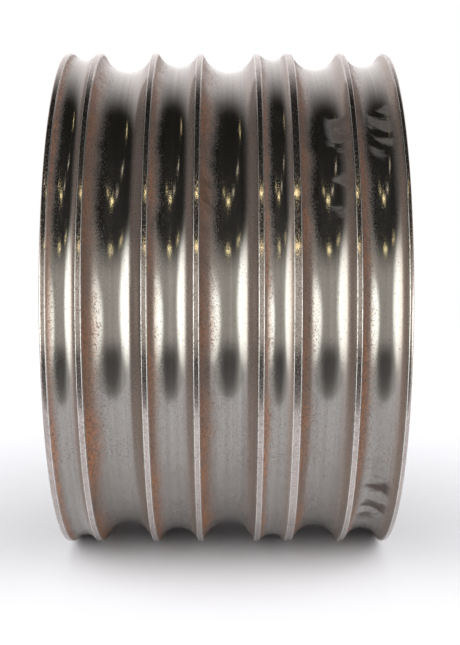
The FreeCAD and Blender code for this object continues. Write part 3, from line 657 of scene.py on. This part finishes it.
spring_steel = turned_steel("spring_steel", (0.16, 0.15, 0.14), 0.32)
for end in ("left", "right"):
    eased(f"{end}_lip_seal", seal_rubber, 0.2, "pulley")
    finish_node(f"{end}_garter_spring", spring_steel)
    eased(f"{end}_cover_bolts", zinc, 0.2, "pulley")
    eased(f"{end}_grease_nipple", zinc, 0.12, "pulley")
    eased(f"{end}_spring_washers", spring_steel, 0.2, "pulley")

# ---------------------------------------------------------------------------------------------
# The pale studio floor that the drum stands on. Its near part is left out of reflections, as the
# edge of the table is close to the drum there.

FLOOR_Z = -RIM_R
TABLE_EDGE = 0.245
FLOOR_REACH = 1.15
FLOOR_FRONT = 3.0
FLOOR_HALF_WIDTH = 2.5


def flat_sheet(name, low, high):
    mesh = bpy.data.meshes.new(name)
    work = bmesh.new()
    bmesh.ops.create_grid(work, x_segments=1, y_segments=1, size=0.5)
    bmesh.ops.scale(work, vec=(high[0] - low[0], high[1] - low[1], 1.0), verts=work.verts)
    middle = ((low[0] + high[0]) / 2, (low[1] + high[1]) / 2, FLOOR_Z)
    bmesh.ops.translate(work, vec=middle, verts=work.verts)
    work.to_mesh(mesh)
    work.free()
    made = bpy.data.objects.new(name, mesh)
    bpy.context.scene.collection.objects.link(made)
    return made


sheet, tree, shader = material("white_sheet", metallic=0.0, roughness=0.9)
where = tree.nodes.new("ShaderNodeTexCoord").outputs["Object"]
soft_folds = noise(tree, where, 3.0, 3.0, 0.5)
tone = blend(tree, soft_folds, (0.88, 0.88, 0.90), (0.92, 0.92, 0.935))
tree.links.new(tone, shader.inputs["Base Color"])
tree.links.new(bump(tree, soft_folds, 0.01, 0.3), shader.inputs["Normal"])
near = flat_sheet("floor_under", (-FLOOR_REACH, -FLOOR_HALF_WIDTH), (TABLE_EDGE, FLOOR_HALF_WIDTH))
front = flat_sheet("floor_front", (TABLE_EDGE, -FLOOR_HALF_WIDTH), (FLOOR_FRONT, FLOOR_HALF_WIDTH))
front.visible_glossy = False
front.visible_shadow = False
for part in (near, front):
    part.data.materials.append(sheet)

# ---------------------------------------------------------------------------------------------
# Studio light: a white backdrop and soft light from the front. The polished steel mirrors a dark
# room with two soft-edged windows, a few warm lamps, and the grey floor beyond the table.

world = bpy.data.worlds.new("studio")
bpy.context.scene.world = world
world.use_nodes = True
tree = world.node_tree
sky = tree.nodes["Background"]
way = tree.nodes.new("ShaderNodeTexCoord").outputs["Generated"]
split = tree.nodes.new("ShaderNodeSeparateXYZ")
tree.links.new(way, split.inputs[0])
bearing = maths(tree, "ARCTAN2", split.outputs["Y"], split.outputs["X"])
rise = maths(tree, "ARCSINE", split.outputs["Z"])


def band(tree, value, low, high, soft_low, soft_high):
    """1 between two angles in degrees, falling to 0 over a soft edge at each."""
    starts = [math.radians(low + side * soft_low / 2) for side in (-1, 1)]
    ends = [math.radians(high + side * soft_high / 2) for side in (-1, 1)]
    return maths(tree, "MULTIPLY", ramp(tree, value, *starts), ramp(tree, value, *ends, 1.0, 0.0))


def oval(middle, half_width, height, half_height):
    """A soft-edged oval patch of the room: 1 in its middle; angles in degrees."""
    squares = []
    for angle, centre, half in ((bearing, middle, half_width), (rise, height, half_height)):
        off = maths(tree, "SUBTRACT", angle, math.radians(centre))
        share = maths(tree, "DIVIDE", off, math.radians(half))
        squares.append(maths(tree, "MULTIPLY", share, share))
    return ramp(tree, maths(tree, "ADD", *squares), 1.65, 0.15)


tall_window = oval(-59, 27, 0, 21)
low_window = oval(57, 26, -5, 15)
room = blend(tree, band(tree, rise, -19, 22, 14, 18), (0.024, 0.022, 0.018), (0.88, 0.84, 0.76))
far_floor = blend(tree, oval(0, 38, -27, 18), (0.75, 0.73, 0.70), (0.06, 0.056, 0.052))
room = blend(tree, ramp(tree, rise, math.radians(-12), math.radians(-26)), room, far_floor)
room = blend(tree, maths(tree, "MAXIMUM", tall_window, low_window), room, (4.2, 4.3, 4.1))
# Lamps: bearing, rise, width and height in degrees, strength of the glow, colour
YELLOW = (19.0, 16.2, 9.0)
PALE = (19.0, 16.8, 13.3)
LAMPS = [(27, 54.5, 11, 0.7, 0.5, YELLOW), (2, 52, 15, 0.8, 1.0, YELLOW), (-26, 55, 11, 0.7, 0.4, PALE),
         (-62, 59, 12, 0.7, 0.4, PALE), (2, 27.5, 15, 0.7, 0.9, YELLOW), (-40, 28.5, 12, 0.7, 0.4, YELLOW),
         (-112, 60, 12, 0.7, 0.4, YELLOW)]
for azimuth, height, wide, high, strength, colour in LAMPS:
    over = band(tree, bearing, azimuth - wide / 2, azimuth + wide / 2, wide, wide)
    glow = maths(tree, "MULTIPLY", over, band(tree, rise, height - high / 2, height + high / 2, high, high))
    room = blend(tree, maths(tree, "MULTIPLY", glow, strength), room, colour)
behind = ramp(tree, split.outputs["X"], -0.28, -0.85)
above = ramp(tree, split.outputs["Z"], -0.25, 0.0)
mirrored = blend(tree, maths(tree, "MULTIPLY", behind, above), room, (1.30, 1.24, 1.24))
front = ramp(tree, split.outputs["X"], -0.2, 0.7)
sideways = ramp(tree, maths(tree, "ABSOLUTE", split.outputs["Y"]), 0.4, 0.95, 0.0, 0.85)
soft_light = blend(tree, maths(tree, "MAXIMUM", front, sideways), (0.42, 0.42, 0.43), (2.25, 2.25, 2.28))
path = tree.nodes.new("ShaderNodeLightPath")
seen = blend(tree, path.outputs["Is Glossy Ray"], soft_light, mirrored)
shown = blend(tree, path.outputs["Is Camera Ray"], seen, (1.0, 1.0, 1.0))
tree.links.new(shown, sky.inputs["Color"])

# ---------------------------------------------------------------------------------------------
# Camera: square on to the drum and a little above its axis, dipped slightly so that the drum
# stands above the middle of the picture, with a short telephoto lens.

CAMERA_DISTANCE = 5.3 * RIM_R
FOCAL_LENGTH_MM = 70.7
CAMERA_ELEVATION = math.radians(5.0)
CAMERA_DIP = math.radians(1.1)
SWING = math.radians(0.16)
lens = bpy.data.cameras.new("camera")
lens.sensor_fit = "AUTO"
lens.lens = FOCAL_LENGTH_MM
camera = bpy.data.objects.new("camera", lens)
bpy.context.scene.collection.objects.link(camera)
spot = Vector((math.cos(CAMERA_ELEVATION), 0.0, math.sin(CAMERA_ELEVATION))) * CAMERA_DISTANCE
pitch = CAMERA_ELEVATION + CAMERA_DIP
look = Vector((-math.cos(pitch) * math.cos(SWING), math.cos(pitch) * math.sin(SWING), -math.sin(pitch)))
camera.matrix_world = Matrix.Translation(spot) @ look.to_track_quat("-Z", "Y").to_matrix().to_4x4()
bpy.context.scene.camera = camera
bpy.context.scene.view_settings.view_transform = "Standard"
